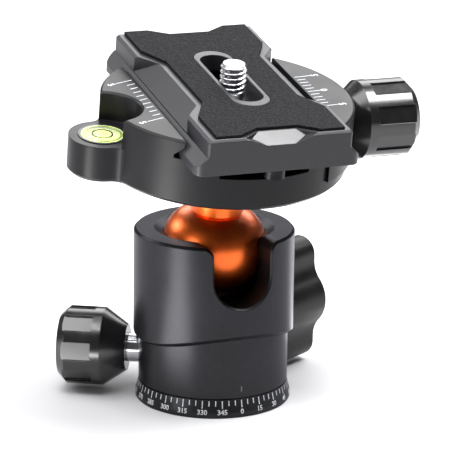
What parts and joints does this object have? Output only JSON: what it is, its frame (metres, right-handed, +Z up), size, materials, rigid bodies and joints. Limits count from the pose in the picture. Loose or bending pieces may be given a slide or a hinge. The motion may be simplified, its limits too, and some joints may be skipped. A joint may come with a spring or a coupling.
{
  "type": "tripod ball head",
  "caption": "Tripod ball head: panning base, housing with a drop notch, ball on a collar, screw clamp with a bubble level and a sliding camera plate.",
  "frame": {"origin": "centre of the base's underside, at the mouth of the tripod thread", "axes": "+Z up out of the tripod, -Y towards the housing's drop notch, +X to the side of the clamp knob"},
  "size_m": [0.0864, 0.0688, 0.0858],
  "materials": {
    "body_black": "satin",
    "plate_black": "satin",
    "ball_copper": "polished",
    "knob_black": "gloss",
    "chrome": "polished",
    "steel": "satin",
    "brass": "satin",
    "nylon": "matt",
    "pad_rubber": "matt",
    "level_case": "satin",
    "black_oxide": "satin",
    "level_liquid": "clear",
    "level_bubble": "clear",
    "level_lens": "clear"
  },
  "bodies": {
    "base": {"panning_base": "body_black", "slip_ring": "nylon", "pan_retainer": "steel", "pan_screw": "steel"},
    "housing": {"housing": "body_black", "seat_ring": "nylon", "main_bush": "brass"},
    "lower_cup": {"lower_cup": "nylon"},
    "main_wedge": {"main_wedge": "steel"},
    "main_knob": {"main_lock_screw": "chrome", "main_knob": "knob_black", "main_knob_pin": "steel"},
    "pan_shoe": {"pan_shoe": "brass"},
    "pan_knob": {"pan_lock_screw": "chrome", "pan_knob": "knob_black", "pan_knob_cap": "knob_black"},
    "ball_liner": {"ball_liner": "nylon"},
    "ball": {"ball": "ball_copper"},
    "clamp": {"clamp_base": "body_black", "stem_screw": "black_oxide", "jaw_springs": "steel", "level_case": "level_case", "level_liquid": "level_liquid", "level_bubble": "level_bubble", "level_lens": "level_lens"},
    "moving_jaw": {"moving_jaw": "body_black", "guide_pins": "steel"},
    "clamp_knob": {"clamp_screw": "steel", "clamp_knob": "knob_black", "clamp_knob_cap": "knob_black", "thrust_washer": "steel"},
    "plate": {"camera_plate": "plate_black", "plate_pad": "pad_rubber", "stop_screws": "black_oxide"},
    "camera_washer": {"camera_washer": "chrome"},
    "camera_screw": {"camera_screw": "chrome"}
  },
  "joints": [
    {"name": "pan", "type": "hinge", "parent": "base", "child": "housing", "pos_m": [0, 0, 0], "axis": [0, 0, 1], "continuous": true},
    {"name": "ball_roll", "type": "hinge", "parent": "housing", "child": "ball_liner", "pos_m": [0, 0, 0.0384], "axis": [0, 1, 0], "range_deg": [-30, 30]},
    {"name": "ball_tilt", "type": "hinge", "parent": "ball_liner", "child": "ball", "pos_m": [0, 0, 0.0384], "axis": [1, 0, 0], "range_deg": [-39, 81]},
    {"name": "ball_spin", "type": "hinge", "parent": "ball", "child": "clamp", "pos_m": [0, 0, 0.0384], "axis": [0, -0.1564, 0.9877], "continuous": true},
    {"name": "main_lock_travel", "type": "slide", "parent": "housing", "child": "main_wedge", "axis": [-0.866, -0.5, 0], "range_m": [-0.0015, 0]},
    {"name": "main_lock_turn", "type": "hinge", "parent": "main_wedge", "child": "main_knob", "pos_m": [0.02165, 0.0125, 0.0166], "axis": [-0.866, -0.5, 0], "range_deg": [-540, 0]},
    {"name": "cup_lift", "type": "slide", "parent": "housing", "child": "lower_cup", "axis": [0, 0, 1], "range_m": [-0.000158, 0]},
    {"name": "pan_lock_travel", "type": "slide", "parent": "housing", "child": "pan_shoe", "axis": [0.866, -0.5, 0], "range_m": [-0.0008, 0]},
    {"name": "pan_lock_turn", "type": "hinge", "parent": "pan_shoe", "child": "pan_knob", "pos_m": [-0.02165, 0.0125, 0.0107], "axis": [0.866, -0.5, 0], "range_deg": [-360, 0]},
    {"name": "jaw_travel", "type": "slide", "parent": "clamp", "child": "moving_jaw", "axis": [0.9994, -0.0345, -0.0055], "range_m": [0, 0.0025]},
    {"name": "clamp_turn", "type": "hinge", "parent": "moving_jaw", "child": "clamp_knob", "pos_m": [0.03498, -0.00584, 0.06744], "axis": [-0.9994, 0.0345, 0.0055], "range_deg": [-900, 0]},
    {"name": "plate_slide", "type": "slide", "parent": "clamp", "child": "plate", "axis": [0.0349, 0.9871, 0.1563], "range_m": [-0.0175, 0.0175]},
    {"name": "camera_screw_slide", "type": "slide", "parent": "plate", "child": "camera_washer", "axis": [0.0349, 0.9871, 0.1563], "range_m": [-0.0096, 0.0116]},
    {"name": "camera_screw_turn", "type": "hinge", "parent": "camera_washer", "child": "camera_screw", "pos_m": [0.00106, -0.00764, 0.08002], "axis": [0, -0.1564, 0.9877], "continuous": true}
  ],
  "couplings": [
    {"joint": "main_lock_travel", "follows": "main_lock_turn", "m_per_rad": 0.00015915},
    {"joint": "cup_lift", "follows": "main_lock_turn", "m_per_rad": 0.000016728},
    {"joint": "pan_lock_travel", "follows": "pan_lock_turn", "m_per_rad": 0.00012732},
    {"joint": "jaw_travel", "follows": "clamp_turn", "m_per_rad": -0.00015915}
  ]
}
